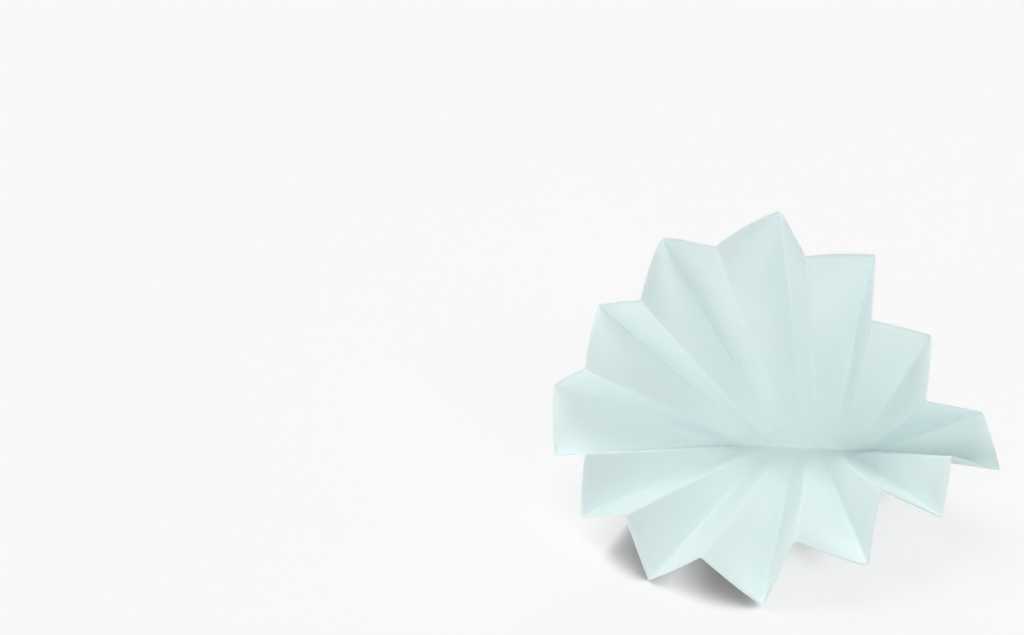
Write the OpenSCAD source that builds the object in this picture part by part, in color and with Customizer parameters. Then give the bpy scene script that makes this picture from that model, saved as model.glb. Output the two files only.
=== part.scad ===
// Round filter paper, folded in half, fan-folded and opened again into a fluted cone.
// It is one sheet. Every crease keeps the length that it has on the flat sheet, and the cone
// lies as it comes to rest: on its diameter fold and on the ridges under its mouth.
//
// Frame: the origin is on the table under the middle of the diameter fold, +X runs along that
// fold, +Z is up, and the mouth opens towards -Y and +Z.

/* [Sheet] */
// Diameter of the flat round sheet
sheet_d = 150; // [90:5:240]
// Thickness of the paper
paper_t = 0.2; // [0.14:0.02:0.4]

/* [Folds] */
// Pleats in each half of the sheet: two panels each, and one panel more where the halves meet
half_pleats = 6; // [4:1:9]
// Distance from the middle to the last crease foot, along the diameter fold
foot_reach = 20; // [12:1:24]
// How far the creases crowd towards both ends of the diameter fold, at most, in degrees round the rim
crowding = 3; // [0:0.5:5]
// How far each of the back half's creases lies off its place round the rim, from right to left
back_off = [-1, -0.5, 0, -0.5, 0.5, 0.5, 0, 0.5, -0.5, 0.5, -0.5, 0, -1];
// How far each of the front half's creases lies off its place round the rim, from left to right
front_off = [1, -0.5, -0.5, 0, 0, 0, 0, 0, 0, 0, 0.5, -0.5, -0.5];
// Half the width over which a crease rounds off
crease_w = 0.5; // [0.3:0.1:1.2]
// Distance from the diameter fold within which the pleats go soft
soft_r = 5; // [3:0.5:10]
// Radius of the diameter fold at the bottom of the cone
fold_r = 2; // [1:0.5:4]

/* [Opening] */
// Mean angle between the cone's axis and its outer ridges
cone_angle = 44; // [36:1:46]
// Extra lean of the back half's outer ridges, from right to left
back_lean = [-14, -18, -8.5, 0, 4, 4.5, 11];
// Extra lean of the front half's outer ridges, from left to right
front_lean = [10.5, 9, 6, 0.5, -6.5, -8, -3.5];
// How far the back half's outer ridges are turned round the axis, from right to left
back_turn = [4.5, 13, 16.5, 15.5, 17.5, 12.5, 8.5];
// How far the front half's outer ridges are turned round the axis, from left to right
front_turn = [13.5, 5, 1, 1.5, 1, -2, -3.5];

/* [Hidden] */
sheet_r = sheet_d / 2;
half_panels = 2 * half_pleats + 1;
panels = 2 * half_panels;
panel_angle = 360 / panels;
// Columns of the surface across one panel, as shares of its width, the same from either side
COLUMNS = [0, 0.05, 0.2, 0.5, 0.8, 0.95];
// Rings of the surface, as shares of the way from the diameter fold to the rim
RINGS = [0.04, 0.09, 0.16, 0.26, 0.42, 0.66, 1];
// A crease is rounded by the mean over a stretch to both sides of it, taken at these shares of it
SPREAD = [-1, -0.5, 0, 0.5, 1];
WEIGHTS = [1, 2, 2, 2, 1] / 8;
column_count = panels * len(COLUMNS);
fold_points = column_count / 2 + 1;
side_points = fold_points + column_count * len(RINGS);

function unit(v) = v / norm(v);
function mix(a, b, f) = a + (b - a) * f;
function total(v, i = 0) = i == len(v) - 1 ? v[i] : v[i] + total(v, i + 1);

// Value at the share f of the way along a list
function along(list, f) =
    let (x = f * (len(list) - 1), i = min(floor(x), len(list) - 2))
    mix(list[i], list[i + 1], x - i);

// --- The flat sheet. A place round it is counted in creases, u = 0 to panels. ---

// Creases between u and the diameter fold's right end, by the shorter way round
function from_end(u) = let (w = u - panels * floor(u / panels)) min(w, panels - w);

// Foot of the crease or ruling at u, on the diameter fold
function foot(u) = [foot_reach * (1 - 2 * from_end(u) / half_panels), 0, 0];

// Place of the crease k round the rim, in degrees
function crease_place(k) =
    let (w = (k + panels) % panels, is_back = w < half_panels)
    let (f = (w - (is_back ? 0 : half_panels)) / (half_panels - 1))
    panel_angle * k - crowding * sin(2 * panel_angle * k) + along(is_back ? back_off : front_off, f);

// The ruling at u, from its foot to the rim
function flat_ruling(u) =
    let (k = floor(u), angle = mix(crease_place(k), crease_place(k + 1), u - k))
    sheet_r * [cos(angle), sin(angle), 0] - foot(u);

function ruling(u) = norm(flat_ruling(u));

// Straight distance between the rim ends of the creases k and k + 1
function chord(k) = 2 * sheet_r * sin((crease_place(k + 1) - crease_place(k)) / 2);

// --- The creases of the opened cone ---

// An outer ridge leaves its foot as it does on the flat sheet, turned, and leans away from the axis
function outer_tip(k, turn, lean) =
    let (flat = flat_ruling(k), azimuth = atan2(flat.y, flat.x) + turn, polar = cone_angle + lean)
    foot(k) + norm(flat) * [sin(polar) * cos(azimuth), sin(polar) * sin(azimuth), cos(polar)];

// Point at the distances ra, rb and rc from a, b and c, on the side that a, b and c turn towards
function meeting(a, ra, b, rb, c, rc) =
    let (d = norm(b - a), ex = (b - a) / d, i = ex * (c - a))
    let (ey = unit(c - a - i * ex), j = ey * (c - a))
    let (x = (ra ^ 2 - rb ^ 2 + d ^ 2) / (2 * d))
    let (y = (ra ^ 2 - rc ^ 2 + i ^ 2 + j ^ 2 - 2 * i * x) / (2 * j))
    a + x * ex + y * ey + sqrt(max(0, ra ^ 2 - x ^ 2 - y ^ 2)) * cross(ex, ey);

// An inner ridge keeps its own length and stands one panel from both its neighbours
function inner_tip(k, before, after) =
    meeting(foot(k), ruling(k), before, chord(k - 1), after, chord(k));

// Tip a, moved together with tip b until the two stand one panel apart
function beside(a, b, width) = (a + b) / 2 + unit(a - b) * width / 2;

function run(first, lean, turn) =
    [for (j = [0:half_pleats]) let (f = j / half_pleats)
        outer_tip(first + 2 * j, along(turn, f), along(lean, f))];

back_run = run(0, back_lean, back_turn);
front_run = run(half_panels, front_lean, front_turn);

// The two runs meet at both ends of the diameter fold, with one panel between them
function closed(first, own, other) =
    [for (j = [0:half_pleats])
        j == 0 ? beside(own[j], other[half_pleats], chord(first - 1))
        : j == half_pleats ? beside(own[j], other[0], chord(first + 2 * j))
        : own[j]];

function with_inner(first, tips) =
    [for (j = [0:2 * half_pleats]) let (i = floor(j / 2))
        j % 2 == 0 ? tips[i] : inner_tip(first + j, tips[i], tips[i + 1])];

crease_tips = concat(
    with_inner(0, closed(0, back_run, front_run)),
    with_inner(half_panels, closed(half_panels, front_run, back_run)));

// --- The surface between the creases ---

// Direction of the ruling at u, across flat panels with sharp creases
function sharp(u) =
    let (k = floor(u), a = crease_tips[(k + panels) % panels], b = crease_tips[(k + 1 + panels) % panels])
    unit(mix(a, b, u - k) - foot(u));

function soft(u, reach) = total([for (i = [0:len(SPREAD) - 1]) WEIGHTS[i] * sharp(u + reach * SPREAD[i])]);

// How far a crease spreads at the distance r from the diameter fold, in panels
function softness(r) = min(1, crease_w / (r * panel_angle * PI / 180) + (soft_r / r) ^ 2);

// The halves run straight off to both sides and are joined by a rounded fold, as on a hyperbola
function middle(u, r) =
    let (s = softness(max(r, fold_r)), here = soft(u, s), there = soft(panels - u, s))
    foot(u) + r * (here - there) / 2 + norm([r, fold_r]) * (here + there) / 2;

// Tips the cone forward on its diameter fold until the first ridge meets the table
lie = min([for (p = crease_tips) if (p.y < 0) atan2(p.z, -p.y)]);
function laid(p) = [p.x, p.y * cos(lie) - p.z * sin(lie), p.y * sin(lie) + p.z * cos(lie)];

column_u = [for (k = [0:panels - 1], f = COLUMNS) k + f];
grid = [for (u = column_u) let (length = ruling(u))
    [for (t = concat([0], RINGS)) laid(middle(u, t * length))]];

// Surface point at column i and ring j; ring -1 is ring 1 across the diameter fold
function at(i, j) =
    let (c = (i + column_count) % column_count)
    j >= 0 ? grid[c][min(j, len(RINGS))] : grid[(column_count - c) % column_count][-j];

function facing(i, j) =
    let (is_end = j == 0 && i % (column_count / 2) == 0)
    let (out = is_end ? at(i, 1) - at(i + 1, 0) : at(i, j + 1) - at(i, j - 1))
    let (round = is_end ? at(i + 1, 1) - at(i - 1, 1) : at(i + 1, j) - at(i - 1, j))
    unit(cross(out, round));

function side(offset) = concat(
    [for (i = [0:fold_points - 1]) at(i, 0) + offset * facing(i, 0)],
    [for (i = [0:column_count - 1], j = [1:len(RINGS)]) at(i, j) + offset * facing(i, j)]);

function index(i, j) =
    let (c = i % column_count)
    j == 0 ? min(c, column_count - c) : fold_points + c * len(RINGS) + j - 1;

inner_faces = [for (i = [0:column_count - 1], j = [0:len(RINGS) - 1])
    let (a = index(i, j), b = index(i + 1, j), c = index(i + 1, j + 1), d = index(i, j + 1))
    each [[a, b, c], [a, c, d]]];
outer_faces = [for (f = inner_faces) [f[0], f[2], f[1]] + side_points * [1, 1, 1]];
rim_faces = [for (i = [0:column_count - 1])
    let (a = index(i, len(RINGS)), b = index(i + 1, len(RINGS)))
    each [[a, b, b + side_points], [a, b + side_points, a + side_points]]];

module filter_paper() {
    both = concat(side(paper_t / 2), side(-paper_t / 2));
    floor_z = min([for (p = both) p.z]);
    color("#dceae8")
        translate([0, 0, -floor_z])
            polyhedron(points = both, faces = concat(inner_faces, outer_faces, rim_faces), convexity = 12);
}

filter_paper();
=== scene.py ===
"""Folded filter paper: one round sheet, fan-folded and opened into a fluted cone that lies on its side.

The paper is a surface over two parameters. The first goes round the flat sheet and is counted in
creases, the second runs from the diameter fold out to the rim. Every shape function works on whole
numpy arrays of these two. Lengths are in millimetres until a mesh is made, and angles are in degrees.
"""

import logging
import math
from dataclasses import dataclass, field
from enum import Enum

import bpy
import numpy as np
from mathutils import Matrix, Vector


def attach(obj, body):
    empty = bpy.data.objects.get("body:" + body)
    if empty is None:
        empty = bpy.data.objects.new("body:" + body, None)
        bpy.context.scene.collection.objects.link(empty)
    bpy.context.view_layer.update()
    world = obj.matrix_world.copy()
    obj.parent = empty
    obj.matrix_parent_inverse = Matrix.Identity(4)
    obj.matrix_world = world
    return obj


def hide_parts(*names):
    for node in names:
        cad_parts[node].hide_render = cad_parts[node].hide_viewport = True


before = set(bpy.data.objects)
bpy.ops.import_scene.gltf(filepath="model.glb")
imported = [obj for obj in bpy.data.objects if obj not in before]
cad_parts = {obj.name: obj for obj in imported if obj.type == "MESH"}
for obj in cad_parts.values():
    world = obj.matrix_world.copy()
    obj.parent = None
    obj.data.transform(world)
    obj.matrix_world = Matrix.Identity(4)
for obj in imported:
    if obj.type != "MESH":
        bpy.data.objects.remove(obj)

MM = 0.001
# Sharp directions that a rounded crease takes the mean of
TAPS = 24
# Share of a bend's radius that a face of the paper may fill on the inside of the bend
PRESSED = 0.75
# Points closer together than this, in millimetres, are one point
TOUCHING = 1e-6
# Width of the camera's sensor, in millimetres
SENSOR = 36.0
# Numbers of a Mix node's two colour inputs and of its colour output
MIX_FIRST, MIX_SECOND, MIX_COLOUR = 6, 7, 2
log = logging.getLogger("filter_paper")


def hex_colour(code: str) -> tuple[float, float, float, float]:
    """Turns an sRGB hex colour into the linear colour that a shader takes.

    It follows the sRGB curve: a straight line for the darkest values, then a power of 2.4.

    Args:
        code: six hex digits after a hash, such as "#e4eeec".

    Returns:
        Linear red, green, blue and an alpha of 1.
    """
    channels = [int(code[i:i + 2], 16) / 255 for i in (1, 3, 5)]
    linear = [c / 12.92 if c <= 0.04045 else ((c + 0.055) / 1.055) ** 2.4 for c in channels]
    return (*linear, 1.0)


def add_node(tree: bpy.types.NodeTree, kind: str, links: dict[str | int, object] | None = None,
             **settings: object) -> bpy.types.Node:
    """Adds a node to a tree with its settings and its links.

    Args:
        tree: the node tree.
        kind: the node's type name, such as "ShaderNodeBsdfPrincipled".
        links: input name or number to the output socket or the plain value that it takes.
        settings: the node's own properties, such as an operation.

    Returns:
        The new node.
    """
    node = tree.nodes.new(kind)
    for name, value in settings.items():
        setattr(node, name, value)
    for name, value in (links or {}).items():
        if isinstance(value, bpy.types.NodeSocket):
            tree.links.new(value, node.inputs[name])
        else:
            node.inputs[name].default_value = value
    return node


def unit(v: np.ndarray) -> np.ndarray:
    """Vectors of the last axis, each made one long."""
    return v / np.linalg.norm(v, axis=-1, keepdims=True)


def new_mesh(name: str, points: np.ndarray, faces: np.ndarray, smooth: bool) -> bpy.types.Object:
    """Puts points and faces into a new object at the origin.

    Args:
        name: the object's name.
        points: corners in metres, one row each.
        faces: corner numbers, one row of three or four a face.
        smooth: whether the faces are shaded smooth.

    Returns:
        The new object, linked to the scene.
    """
    mesh = bpy.data.meshes.new(name)
    mesh.from_pydata(points.tolist(), [], faces.tolist())
    mesh.polygons.foreach_set("use_smooth", np.full(len(faces), smooth))
    mesh.update()
    piece = bpy.data.objects.new(name, mesh)
    bpy.context.scene.collection.objects.link(piece)
    return piece


class Ridge(Enum):
    """Which way a crease stands, seen from inside the cone."""

    OUTER = 0
    INNER = 1


@dataclass(frozen=True)
class FilterStock:
    """Qualitative filter paper: cotton linters, wet laid, dried without glaze and left soft.

    The loose fibres scatter light evenly, so it looks matt, with no highlight. The pulp lies a little
    thicker in some places than in others, so it looks faintly cloudy. It is thin, so some light comes
    through. Sizes are in millimetres.
    """

    name: str = "cotton_linter_filter_paper"
    # Cool white of the pulp, and its tone where it lies thicker
    colour: str = "#f3fcfc"
    shade: str = "#eefaf9"
    roughness: float = 0.95
    # Share of the light that passes through the sheet
    translucency: float = 0.2
    # Size of the clouds of pulp, how often they are halved into finer ones, and how strong those are
    cloud_size: float = 9.0
    cloud_detail: float = 3.0
    cloud_roughness: float = 0.55
    # The same of the grain. Real fibres are about 0.02 mm thick, too fine to show, so the grain is
    # drawn as coarse as tufts of them
    grain_size: float = 0.7
    grain_detail: float = 2.0
    grain_roughness: float = 0.6
    # Height of the grain
    grain_depth: float = 0.035

    def material(self, flat_size: float) -> bpy.types.Material:
        """Builds the paper's material on the flat sheet's own coordinates.

        Each face of the sheet sends back all light but the share that passes through. Light that has
        come in is let out of the far face whole.

        Args:
            flat_size: side of the square that the sheet's UV map covers, in millimetres.

        Returns:
            The material.
        """
        paper = bpy.data.materials.new(self.name)
        paper.use_nodes = True
        tree = paper.node_tree
        tree.nodes.clear()
        sheet_map = add_node(tree, "ShaderNodeUVMap", uv_map="flat_sheet")
        clouds = add_node(tree, "ShaderNodeTexNoise", {
            "Vector": sheet_map.outputs["UV"], "Scale": flat_size / self.cloud_size,
            "Detail": self.cloud_detail, "Roughness": self.cloud_roughness})
        grain = add_node(tree, "ShaderNodeTexNoise", {
            "Vector": sheet_map.outputs["UV"], "Scale": flat_size / self.grain_size,
            "Detail": self.grain_detail, "Roughness": self.grain_roughness})
        cloudy = add_node(tree, "ShaderNodeMix", {
            "Factor": clouds.outputs["Fac"], MIX_FIRST: hex_colour(self.shade),
            MIX_SECOND: hex_colour(self.colour)}, data_type="RGBA")
        bump = add_node(tree, "ShaderNodeBump", {
            "Strength": 1.0, "Distance": self.grain_depth * MM, "Height": grain.outputs["Fac"]})
        face = add_node(tree, "ShaderNodeBsdfPrincipled", {
            "Base Color": cloudy.outputs[MIX_COLOUR], "Roughness": self.roughness,
            "Specular IOR Level": 0.0, "Normal": bump.outputs["Normal"]})
        through = add_node(tree, "ShaderNodeBsdfTranslucent", {
            "Color": cloudy.outputs[MIX_COLOUR], "Normal": bump.outputs["Normal"]})
        geometry = add_node(tree, "ShaderNodeNewGeometry")
        passing = add_node(tree, "ShaderNodeMath", {
            0: geometry.outputs["Backfacing"], 1: self.translucency}, operation="MAXIMUM")
        paper_skin = add_node(tree, "ShaderNodeMixShader", {
            0: passing.outputs[0], 1: face.outputs["BSDF"], 2: through.outputs["BSDF"]})
        add_node(tree, "ShaderNodeOutputMaterial", {"Surface": paper_skin.outputs["Shader"]})
        return paper


@dataclass(frozen=True)
class PleatedSheet:
    """The round sheet, the folds in it and the way that it stands open.

    The halves are joined along the diameter fold. Creases leave that fold at evenly spaced feet and run
    to the rim, in turn an outer and an inner ridge of the cone. The back half's creases are counted
    from right to left, and the front half's from left to right.
    """

    diameter: float = 150.0
    thickness: float = 0.2
    # Pleats in each half: two panels each, and one panel more where the halves meet
    half_pleats: int = 6
    # Distance from the middle to the last crease foot, along the diameter fold
    foot_reach: float = 20.0
    # How far the creases crowd towards both ends of the diameter fold, at most
    crowding: float = 3.0
    # How far each crease lies off its place round the rim
    back_off: tuple[float, ...] = (-1, -0.5, 0, -0.5, 0.5, 0.5, 0, 0.5, -0.5, 0.5, -0.5, 0, -1)
    front_off: tuple[float, ...] = (1, -0.5, -0.5, 0, 0, 0, 0, 0, 0, 0, 0.5, -0.5, -0.5)
    # Half the width over which a crease rounds off
    crease_width: float = 0.8
    # Distance from the diameter fold within which the pleats go soft
    soft_reach: float = 3.5
    # Radius of the diameter fold at the bottom of the cone
    fold_radius: float = 1.4
    # Angle between the cone's axis and its outer ridges, and each ridge's extra lean away from the axis
    cone_angle: float = 44.0
    back_lean: tuple[float, ...] = (-14, -18, -8.5, 0, 4, 4.5, 11)
    front_lean: tuple[float, ...] = (10.5, 9, 6, 0.5, -6.5, -8, -3.5)
    # How far each outer ridge is turned round the axis
    back_turn: tuple[float, ...] = (4.5, 13, 16.5, 15.5, 17.5, 12.5, 8.5)
    front_turn: tuple[float, ...] = (13.5, 5, 1, 1.5, 1, -2, -3.5)

    @property
    def radius(self) -> float:
        """Radius of the flat sheet."""
        return self.diameter / 2

    @property
    def half_panels(self) -> int:
        """Panels in each half of the sheet."""
        return 2 * self.half_pleats + 1

    @property
    def panels(self) -> int:
        """Panels in the whole sheet."""
        return 2 * self.half_panels

    @property
    def panel_angle(self) -> float:
        """Angle of one panel on the flat sheet."""
        return 360 / self.panels

    @property
    def crease_places(self) -> np.ndarray:
        """Places of the creases round the flat sheet's rim, in degrees, and of the first one a turn on.

        They are evenly spaced, but crowd towards both ends of the diameter fold by the sine of twice
        their angle, and each lies a little off its place.
        """
        k = np.arange(self.panels)
        even = self.panel_angle * k
        crowded = even - self.crowding * np.sin(np.radians(2 * even))
        places = crowded + np.array(self.back_off + self.front_off)
        return np.append(places, places[0] + 360)

    @property
    def chords(self) -> np.ndarray:
        """Straight distances between the rim ends of each crease and the next."""
        return 2 * self.radius * np.sin(np.radians(np.diff(self.crease_places) / 2))

    def foot(self, u: np.ndarray) -> np.ndarray:
        """Feet of the rulings at u: they move evenly along the diameter fold, there and back."""
        turned = np.mod(u, self.panels)
        from_end = np.minimum(turned, self.panels - turned)
        x = self.foot_reach * (1 - 2 * from_end / self.half_panels)
        return np.stack([x, 0 * x, 0 * x], -1)

    def flat_rim(self, u: np.ndarray) -> np.ndarray:
        """Points on the flat sheet's rim, on a circle about the sheet's middle."""
        angle = np.radians(np.interp(u, np.arange(self.panels + 1), self.crease_places))
        return self.radius * np.stack([np.cos(angle), np.sin(angle), 0 * angle], -1)

    def flat_ruling(self, u: np.ndarray) -> np.ndarray:
        """Rulings at u on the flat sheet, from foot to rim."""
        return self.flat_rim(u) - self.foot(u)

    def ruling(self, u: np.ndarray) -> np.ndarray:
        """Lengths of the rulings at u."""
        return np.linalg.norm(self.flat_ruling(u), axis=-1)

    def outer_tips(self, first: int, turn: tuple[float, ...], lean: tuple[float, ...]) -> np.ndarray:
        """Rim ends of one half's outer ridges.

        Each ridge keeps its length. It leaves its foot in the direction that it has on the flat sheet,
        turned by its turn, and leans away from the cone's axis by the cone's angle and its lean.

        Args:
            first: number of the half's first crease.
            turn: extra angles round the axis.
            lean: extra angles away from the axis.

        Returns:
            One point a ridge.
        """
        k = first + 2.0 * np.arange(self.half_pleats + 1)
        flat = self.flat_ruling(k)
        azimuth = np.arctan2(flat[:, 1], flat[:, 0]) + np.radians(turn)
        polar = np.radians(self.cone_angle + np.array(lean))
        out = np.sin(polar)
        way = np.stack([out * np.cos(azimuth), out * np.sin(azimuth), np.cos(polar)], -1)
        return self.foot(k) + self.ruling(k)[:, None] * way

    def inner_tips(self, first: int, outer: np.ndarray) -> np.ndarray:
        """Rim ends of one half's inner ridges.

        Each is the point, on the axis side, that keeps the ridge's own length from its foot and one
        panel's chord from both its neighbours: three spheres meet there. It is worked out in axes at
        the foot: towards the tip before, square to that towards the tip after, and square to both.

        Args:
            first: number of the half's first crease.
            outer: rim ends of the half's outer ridges.

        Returns:
            One point a ridge.
        """
        k = first + 1.0 + 2.0 * np.arange(self.half_pleats)
        before, after = self.chords[k.astype(int) - 1], self.chords[k.astype(int)]
        a, ra = self.foot(k), self.ruling(k)
        b, c = outer[:-1], outer[1:]
        d = np.linalg.norm(b - a, axis=-1)
        ex = unit(b - a)
        i = np.sum(ex * (c - a), -1)
        ey = unit(c - a - i[:, None] * ex)
        j = np.sum(ey * (c - a), -1)
        x = (ra ** 2 - before ** 2 + d ** 2) / (2 * d)
        y = (ra ** 2 - after ** 2 + i ** 2 + j ** 2 - 2 * i * x) / (2 * j)
        z = np.sqrt(np.maximum(0, ra ** 2 - x ** 2 - y ** 2))
        return a + x[:, None] * ex + y[:, None] * ey + z[:, None] * np.cross(ex, ey)

    def crease_tips(self) -> np.ndarray:
        """Rim ends of all creases, round the sheet.

        The last ridge of each half and the first of the other are moved together or apart until one
        panel fits between them.
        """
        back = self.outer_tips(0, self.back_turn, self.back_lean)
        front = self.outer_tips(self.half_panels, self.front_turn, self.front_lean)
        left, right = (back[-1] + front[0]) / 2, (back[0] + front[-1]) / 2
        at_left = unit(back[-1] - front[0]) * self.chords[self.half_panels - 1] / 2
        at_right = unit(back[0] - front[-1]) * self.chords[-1] / 2
        back[-1], front[0] = left + at_left, left - at_left
        back[0], front[-1] = right + at_right, right - at_right
        tips = np.empty((self.panels, 3))
        for first, outer in ((0, back), (self.half_panels, front)):
            half = tips[first:first + self.half_panels]
            half[Ridge.OUTER.value::2] = outer
            half[Ridge.INNER.value::2] = self.inner_tips(first, outer)
        return tips

    def sharp(self, u: np.ndarray, tips: np.ndarray) -> np.ndarray:
        """Directions of the rulings at u, straight from one crease's tip to the next across a panel."""
        k = np.floor(u).astype(int)
        a, b = tips[k % self.panels], tips[(k + 1) % self.panels]
        return unit(a + (b - a) * (u - k)[..., None] - self.foot(u))

    def soft(self, u: np.ndarray, reach: np.ndarray, tips: np.ndarray) -> np.ndarray:
        """Directions of the rulings where creases are rounded.

        It is the mean of the sharp directions over reach panels to both sides, weighted by a parabola
        that falls to nothing at the ends.
        """
        shares = (np.arange(TAPS) + 0.5) / TAPS * 2 - 1
        weights = 1 - shares ** 2
        weights /= weights.sum()
        return sum(w * self.sharp(u + reach * s, tips) for w, s in zip(weights, shares))

    def softness(self, r: np.ndarray) -> np.ndarray:
        """Panels over which a crease spreads at the distance r from the diameter fold.

        It is the crease's width over a panel's, plus the square of the soft reach over r, and at most 1.
        """
        panel_width = r * math.radians(self.panel_angle)
        return np.minimum(1, self.crease_width / panel_width + (self.soft_reach / r) ** 2)

    def middle(self, u: np.ndarray, r: np.ndarray) -> np.ndarray:
        """Points half way through the paper.

        The two halves run straight off to both sides of the diameter fold, and a rounded fold joins
        them as a hyperbola joins its asymptotes.

        Args:
            u: places round the sheet, in creases.
            r: distances from the diameter fold.

        Returns:
            Points with the cone's axis along Z.
        """
        reach = self.softness(np.maximum(r, self.fold_radius))
        tips = self.crease_tips()
        here = self.soft(u, reach, tips)
        there = self.soft(self.panels - u, reach, tips)
        away = r[..., None] * (here - there) / 2
        up = np.hypot(r, self.fold_radius)[..., None] * (here + there) / 2
        return self.foot(u) + away + up

    def lie(self) -> float:
        """Angle that tips the cone forward until the first ridge meets the table."""
        tips = self.crease_tips()
        front = tips[tips[:, 1] < 0]
        return float(np.min(np.arctan2(front[:, 2], -front[:, 1])))

    def laid(self, points: np.ndarray) -> np.ndarray:
        """Points turned about the diameter fold, so that the cone lies on its side."""
        c, s = math.cos(self.lie()), math.sin(self.lie())
        x, y, z = points[..., 0], points[..., 1], points[..., 2]
        return np.stack([x, y * c - z * s, y * s + z * c], -1)


@dataclass(frozen=True)
class Rumple:
    """Slight unevenness of handled paper: waves over the flat sheet, square to the paper.

    Short waves lie near the diameter fold, where fingers gathered the pleats, and long ones all over.
    """

    # Depth and length of the short waves, and how far from the diameter fold they reach
    short_depth: float = 0.18
    short_length: float = 7.0
    short_reach: float = 10.0
    # Depth and length of the long waves
    long_depth: float = 0.22
    long_length: float = 34.0
    # Plane waves in each kind, and their shortest and longest, as shares of its length
    waves: int = 9
    length_spread: tuple[float, float] = (0.7, 1.5)
    seed: int = 4
    # Columns to both sides over which the direction of the waves is evened out, across a crease
    lean_columns: int = 8
    # How far two unit rulings across the diameter from each other point apart where they are free
    free_spread: float = 0.9

    def offsets(self, flat: np.ndarray, away: np.ndarray) -> np.ndarray:
        """How far each point of the sheet stands off its smooth place.

        Each kind is a sum of plane waves of random direction, length and phase over the flat sheet,
        scaled so that its standard deviation is its depth.

        Args:
            flat: places on the flat sheet.
            away: distances from the diameter fold.

        Returns:
            Offsets towards the sheet's inner face.
        """
        rng = np.random.default_rng(self.seed)
        total = np.zeros(away.shape)
        near = np.exp(-(away / self.short_reach) ** 2)
        short = (self.short_depth * near, self.short_length)
        long = (self.long_depth, self.long_length)
        for depth, length in (short, long):
            angle, phase = rng.uniform(0, 2 * math.pi, (2, self.waves))
            lengths = length * rng.uniform(*self.length_spread, self.waves)
            ways = np.stack([np.cos(angle), np.sin(angle)]) / lengths
            summed = np.sin(2 * math.pi * (flat @ ways) + phase).sum(-1)
            total += depth * summed * math.sqrt(2 / self.waves)
        return total


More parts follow.
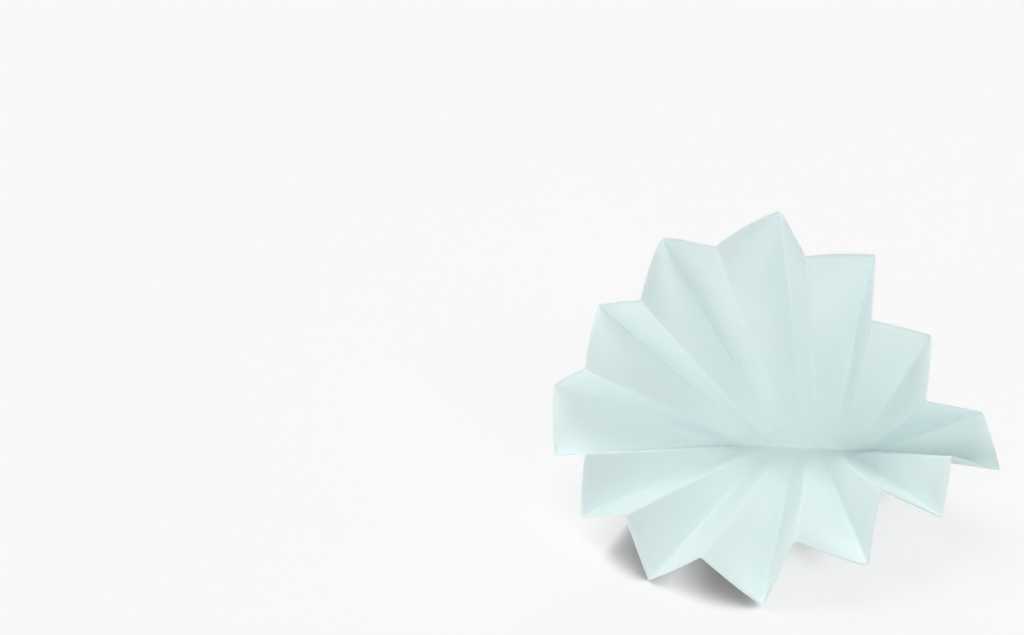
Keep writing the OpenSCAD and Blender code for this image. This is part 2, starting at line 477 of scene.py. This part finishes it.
@dataclass
class FlutedCone:
    """The sheet as it lies: a closed skin on both faces of the paper, with its cut rim.

    Each face is a grid of columns, which follow the rulings, and rings from the diameter fold to the rim.
    """

    sheet: PleatedSheet = field(default_factory=PleatedSheet)
    stock: FilterStock = field(default_factory=FilterStock)
    rumple: Rumple = field(default_factory=Rumple)
    # Columns of a panel, and how much they crowd towards its creases: 0 is evenly spaced
    panel_columns: int = 22
    column_crowding: float = 0.75
    # Rings from the diameter fold out, and the power by which they crowd towards it
    rings: int = 76
    ring_crowding: float = 1.5

    @property
    def column_count(self) -> int:
        """Columns round the whole sheet."""
        return self.sheet.panels * self.panel_columns

    def columns(self) -> np.ndarray:
        """Places round the sheet: in each panel they crowd towards both creases, as a sine does."""
        shares = np.arange(self.panel_columns) / self.panel_columns
        crowded = shares - self.column_crowding * np.sin(2 * np.pi * shares) / (2 * np.pi)
        return (np.arange(self.sheet.panels)[:, None] + crowded).ravel()

    def ring_shares(self) -> np.ndarray:
        """Shares of the way from the diameter fold to the rim: even steps raised to a power."""
        return (np.arange(self.rings + 1) / self.rings) ** self.ring_crowding

    def distances(self) -> np.ndarray:
        """Distance of each column and ring from the diameter fold, along its ruling."""
        return self.ring_shares() * self.sheet.ruling(self.columns())[:, None]

    def flat_places(self) -> np.ndarray:
        """Place of each column and ring on the flat sheet."""
        u = self.columns()
        foot = self.sheet.foot(u)[:, None]
        return (foot + self.sheet.flat_ruling(u)[:, None] * self.ring_shares()[:, None])[..., :2]

    def surface(self) -> np.ndarray:
        """Middle of the paper as a grid of columns by rings.

        It is the smooth sheet, moved by its waves along the mean normal of the columns round about.
        """
        r = self.distances()
        u_grid = np.broadcast_to(self.columns()[:, None], r.shape)
        smooth = self.sheet.laid(self.sheet.middle(u_grid, r))
        normals = self.facing(smooth)
        reach = self.rumple.lean_columns
        lean = unit(sum(np.roll(normals, i, 0) for i in range(-reach, reach + 1)))
        offsets = self.rumple.offsets(self.flat_places(), r) * self.looseness(smooth)
        return smooth + offsets[..., None] * lean

    def looseness(self, grid: np.ndarray) -> np.ndarray:
        """How free the paper is to wave at each column: 1, or less where the halves close on each other.

        It is the square of how far the rulings across the diameter from each other point apart, over
        the spread at which they are free.
        """
        ways = unit(grid[:, -1:] - grid[:, :1])
        apart = np.linalg.norm(ways - ways[self.across()], axis=-1)
        return np.minimum(1, apart / self.rumple.free_spread) ** 2

    def across(self) -> np.ndarray:
        """Number of the column that lies across the diameter from each column."""
        return -np.arange(self.column_count) % self.column_count

    def facing(self, grid: np.ndarray) -> np.ndarray:
        """Directions square to the paper on its inner face.

        Each is square to the line between the points before and after it both ways. The ring before the
        diameter fold is the first ring of the other half. At the fold's two ends the neighbours round
        the sheet take the place of those that are missing.

        Args:
            grid: places by column and ring.

        Returns:
            One unit vector a place.
        """
        other = grid[self.across(), 1:2]
        longer = np.concatenate([other, grid, 2 * grid[:, -1:] - grid[:, -2:-1]], 1)
        out = longer[:, 2:] - longer[:, :-2]
        round_ = np.roll(grid, -1, 0) - np.roll(grid, 1, 0)
        half = len(grid) // 2
        for end in (0, half):
            out[end, 0] = grid[end, 1] - grid[(end + 1) % len(grid), 0]
            round_[end, 0] = grid[(end + 1) % len(grid), 1] - grid[end - 1, 1]
        return unit(np.cross(out, round_))

    @staticmethod
    def bends(grid: np.ndarray, normals: np.ndarray, here: tuple, there: tuple) -> np.ndarray:
        """Bends of the inner face between the points of one part of the grid and those of another.

        A bend is how far the two normals lean together along the step between the points, over the
        square of that step, which is one over the bend's radius.

        Args:
            grid: middle of the paper, by column and ring.
            normals: directions of its inner face.
            here: index of the one part.
            there: index of the other part.

        Returns:
            One bend a pair of points: above 0 where the inner face is on the inside of the bend, and
            below 0 where the outer face is.
        """
        step = grid[there] - grid[here]
        lean = normals[there] - normals[here]
        return -np.sum(step * lean, -1) / np.sum(step ** 2, -1)

    def room(self, grid: np.ndarray, normals: np.ndarray, side: int) -> np.ndarray:
        """How far one face of the paper stands off its middle.

        That is half the thickness, but paper is pressed together on the inside of a tight bend, so there
        it is less than the bend's radius. Nor does the inner face reach half way to the other half of
        the sheet.

        Args:
            grid: middle of the paper, by column and ring.
            normals: directions of its inner face.
            side: 1 for the inner face, -1 for the outer one.

        Returns:
            One distance a point.
        """
        column = np.arange(len(grid))
        round_ = side * self.bends(grid, normals, (column,), (np.roll(column, -1),))
        nearer, further = (slice(None), slice(0, -1)), (slice(None), slice(1, None))
        out = side * self.bends(grid, normals, nearer, further)
        tightest = np.maximum(round_, np.roll(round_, 1, 0))
        tightest[nearer] = np.maximum(tightest[nearer], out)
        tightest[further] = np.maximum(tightest[further], out)
        tightest[:, 0] = np.maximum(tightest[:, 0], out[self.across(), 0])
        room = PRESSED / np.maximum(tightest, PRESSED * 2 / self.sheet.thickness)
        if side < 0:
            return room
        gap = np.linalg.norm(grid - grid[self.across()], axis=-1)
        return np.where(gap < TOUCHING, room, np.minimum(room, PRESSED * gap / 2))

    def corner_numbers(self) -> np.ndarray:
        """Number of the corner at each column and ring; the halves share those on the diameter fold."""
        column = np.arange(self.column_count)
        fold_points = self.column_count // 2 + 1
        on_fold = np.minimum(column, self.column_count - column)[:, None]
        off_fold = fold_points + column[:, None] * self.rings + np.arange(self.rings)
        return np.concatenate([on_fold, off_fold], 1)

    def build(self) -> bpy.types.Object:
        """Builds the paper as one closed mesh with its flat-sheet map.

        Each cell of a face is two triangles, split the same way. Where the halves share a corner on the
        diameter fold, it takes the place that the back half gives it.

        Returns:
            The finished piece.
        """
        grid = self.surface()
        normals = self.facing(grid)
        numbers = self.corner_numbers()
        points_a_side = int(numbers.max()) + 1
        both = np.empty((2 * points_a_side, 3))
        for first, side in ((0, 1), (points_a_side, -1)):
            face = grid + side * self.room(grid, normals, side)[..., None] * normals
            both[first + numbers[::-1]] = face[::-1]
        both[:, 2] -= both[:, 2].min()

        after = np.roll(numbers, -1, 0)
        a, b, c, d = numbers[:, :-1], after[:, :-1], after[:, 1:], numbers[:, 1:]
        inner = np.concatenate([np.stack([a, b, c], -1), np.stack([a, c, d], -1)], 1).reshape(-1, 3)
        outer = inner[:, ::-1] + points_a_side
        e, f = numbers[:, -1], after[:, -1]
        g, h = f + points_a_side, e + points_a_side
        rim = np.concatenate([np.stack([e, f, g], -1), np.stack([e, g, h], -1)])
        faces = np.concatenate([inner, outer, rim])[:, ::-1]
        piece = new_mesh("filter_sheet", both * MM, faces, smooth=True)
        self.map_flat(piece, numbers, points_a_side)
        return piece

    def map_flat(self, piece: bpy.types.Object, numbers: np.ndarray, points_a_side: int) -> None:
        """Gives the piece a UV map: where each corner lies on the flat sheet, with its middle at 0.5.

        Args:
            piece: the paper.
            numbers: corner numbers by column and ring.
            points_a_side: corners on each face of the paper.
        """
        place = np.empty((points_a_side, 2))
        place[numbers] = self.flat_places() / self.sheet.diameter + 0.5
        place = np.concatenate([place, place])
        mesh = piece.data
        loops = np.empty(len(mesh.loops), int)
        mesh.loops.foreach_get("vertex_index", loops)
        layer = mesh.uv_layers.new(name="flat_sheet")
        layer.data.foreach_set("uv", place[loops].astype(np.float32).ravel())

    def dress(self, piece: bpy.types.Object) -> None:
        """Gives the piece its paper."""
        piece.data.materials.append(self.stock.material(self.sheet.diameter))

    def declare(self, piece: bpy.types.Object) -> None:
        """Hangs the piece, one folded sheet that lies on the floor, under the root body and hides the CAD
        sheet, whose visible form it is.
        """
        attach(piece, "root")
        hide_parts("filter_paper")


@dataclass(frozen=True)
class Lamp:
    """A distant soft lamp: where it stands, seen from the paper, and how strong and wide it is.

    The azimuth is counted from +X towards +Y, and all lamps of the studio are equally wide.
    """

    name: str
    azimuth: float
    elevation: float
    strength: float
    width: float = 30.0

    def hang(self) -> None:
        """Adds the lamp to the scene, shining at the origin."""
        sun = bpy.data.lights.new(self.name, "SUN")
        sun.energy = self.strength
        sun.angle = math.radians(self.width)
        lamp = bpy.data.objects.new(self.name, sun)
        bpy.context.scene.collection.objects.link(lamp)
        a, e = math.radians(self.azimuth), math.radians(self.elevation)
        towards = Vector((math.cos(e) * math.cos(a), math.cos(e) * math.sin(a), math.sin(e)))
        lamp.rotation_mode = "QUATERNION"
        lamp.rotation_quaternion = towards.to_track_quat("Z", "Y")


@dataclass(frozen=True)
class TableLaminate:
    """White melamine laminate, pressed with a dead matt face: it shows no gloss, only soft shadows.

    It lights the paper as any white table does. Seen by the camera, it glows evenly white, with a
    painted contact shadow where the paper closes in on it and, a little, the lamps' own shadows.
    """

    name: str = "white_laminate"
    colour: str = "#fafafa"
    roughness: float = 1.0
    # Level of the bare table and of the room behind it: 1 is white
    white_level: float = 0.95
    # Share of the lamps' own light and shadows in what is seen of the table
    shadow_share: float = 0.2
    # Painted contact shadow: how far a place on the table looks for paper, in millimetres, which way,
    # and in how many tries. It looks to the right, back and up, so the painted shadow falls in front of
    # the paper and to its left
    painted_shadow_reach: float = 15.0
    painted_shadow_side: tuple[float, float, float] = (0.75, 0.4, 0.55)
    painted_shadow_samples: int = 48
    # Open share of that view at which the painted shadow is fullest and at which it ends, and its fullest
    # level
    painted_shadow_core: float = 0.22
    painted_shadow_edge: float = 0.8
    painted_shadow_level: float = 0.15

    def material(self) -> bpy.types.Material:
        """Builds the table's material.

        Seen by the camera, the table glows at a level that is a smooth step of the open share of the view,
        from the fullest painted shadow up to white, and the lamps light a share of it in that same painted
        colour. To all other rays it is plain matt white.

        Returns:
            The material.
        """
        laminate = bpy.data.materials.new(self.name)
        laminate.use_nodes = True
        tree = laminate.node_tree
        tree.nodes.clear()
        surface = add_node(tree, "ShaderNodeBsdfPrincipled", {
            "Base Color": hex_colour(self.colour), "Roughness": self.roughness,
            "Specular IOR Level": 0.0})
        side = add_node(tree, "ShaderNodeVectorMath", {0: self.painted_shadow_side}, operation="NORMALIZE")
        # Painted contact shadow: how open the view is round each place, looking right, back and up
        openness = add_node(tree, "ShaderNodeAmbientOcclusion", {
            "Distance": self.painted_shadow_reach * MM, "Normal": side.outputs[0]},
            samples=self.painted_shadow_samples)
        level = add_node(tree, "ShaderNodeMapRange", {
            "Value": openness.outputs["AO"],
            "From Min": self.painted_shadow_core, "From Max": self.painted_shadow_edge,
            "To Min": self.painted_shadow_level, "To Max": self.white_level}, interpolation_type="SMOOTHSTEP")
        # The camera sees the table glow in the colour that carries the painted shadow; the lamps light a
        # share of it
        even = add_node(tree, "ShaderNodeEmission", {"Color": level.outputs[0]})
        lit = add_node(tree, "ShaderNodeBsdfDiffuse", {"Color": level.outputs[0]})
        shown = add_node(tree, "ShaderNodeMixShader", {
            0: self.shadow_share, 1: even.outputs["Emission"], 2: lit.outputs["BSDF"]})
        path = add_node(tree, "ShaderNodeLightPath")
        shader = add_node(tree, "ShaderNodeMixShader", {
            0: path.outputs["Is Camera Ray"], 1: surface.outputs["BSDF"], 2: shown.outputs["Shader"]})
        add_node(tree, "ShaderNodeOutputMaterial", {"Surface": shader.outputs["Shader"]})
        return laminate


@dataclass
class Studio:
    """A white table in soft light, and the camera."""

    laminate: TableLaminate = field(default_factory=TableLaminate)
    # Half the table's side
    floor_reach: float = 4000.0
    lamps: tuple[Lamp, ...] = (
        Lamp("overhead_softbox", 0.0, 90.0, 0.94),
        Lamp("left_softbox", 175.0, 64.0, 0.65),
        Lamp("left_back_softbox", 135.0, 50.0, 0.52),
        Lamp("front_softbox", 270.0, 38.0, 0.46),
        Lamp("right_softbox", 315.0, 42.0, 0.6),
        Lamp("low_left_fill", 225.0, 12.0, 0.69),
        Lamp("back_softbox", 90.0, 12.0, 1.46),
    )
    # Where the camera stands, what it looks at, and how far it is rolled
    camera_place: tuple[float, float, float] = (43.8, -965.1, 637.9)
    camera_aim: tuple[float, float, float] = (-85.3, 61.1, 0.0)
    camera_roll: float = -1.52
    focal_length: float = 151.0
    # The nearest and the furthest that the camera sees
    camera_range: tuple[float, float] = (50.0, 50000.0)

    def floor(self) -> bpy.types.Object:
        """Lays the table top.

        Returns:
            The floor.
        """
        r = self.floor_reach * MM
        corners = np.array([[-r, -r, 0], [r, -r, 0], [r, r, 0], [-r, r, 0]])
        floor = new_mesh("table_top", corners, np.array([[0, 1, 2, 3]]), smooth=False)
        floor.data.materials.append(self.laminate.material())
        return floor

    def lights(self) -> None:
        """Hangs the lamps, and sets a room that is seen as white but gives no light of its own."""
        for lamp in self.lamps:
            lamp.hang()
        world = bpy.data.worlds.new("white_room")
        bpy.context.scene.world = world
        world.use_nodes = True
        tree = world.node_tree
        tree.nodes.clear()
        path = add_node(tree, "ShaderNodeLightPath")
        strength = add_node(tree, "ShaderNodeMath", {
            0: path.outputs["Is Camera Ray"], 1: self.laminate.white_level}, operation="MULTIPLY")
        room = add_node(tree, "ShaderNodeBackground", {
            "Color": (1, 1, 1, 1), "Strength": strength.outputs[0]})
        add_node(tree, "ShaderNodeOutputWorld", {"Surface": room.outputs["Background"]})

    def camera(self) -> None:
        """Stands the camera where it sees the paper from the front, a little from above."""
        place, aim = Vector(self.camera_place), Vector(self.camera_aim)
        forward = (aim - place).normalized()
        right_level = forward.cross(Vector((0, 0, 1))).normalized()
        right = Matrix.Rotation(math.radians(-self.camera_roll), 3, forward) @ right_level
        data = bpy.data.cameras.new("camera")
        data.lens = self.focal_length
        data.sensor_width = SENSOR
        data.clip_start, data.clip_end = (distance * MM for distance in self.camera_range)
        camera = bpy.data.objects.new("camera", data)
        bpy.context.scene.collection.objects.link(camera)
        axes = Matrix((right, right.cross(forward), -forward)).transposed()
        camera.matrix_world = Matrix.Translation(place * MM) @ axes.to_4x4()
        bpy.context.scene.camera = camera


def main() -> None:
    """Builds the paper and its studio."""
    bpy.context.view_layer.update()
    studio = Studio()
    studio.camera()
    studio.lights()
    floor = studio.floor()
    cone = FlutedCone()
    piece = cone.build()
    cone.dress(piece)
    cone.declare(piece)
    log.info("%s: %d faces", piece.name, len(piece.data.polygons))
    bpy.context.scene.view_settings.view_transform = "Standard"


if __name__ == "__main__":
    logging.basicConfig(level=logging.INFO)
    main()
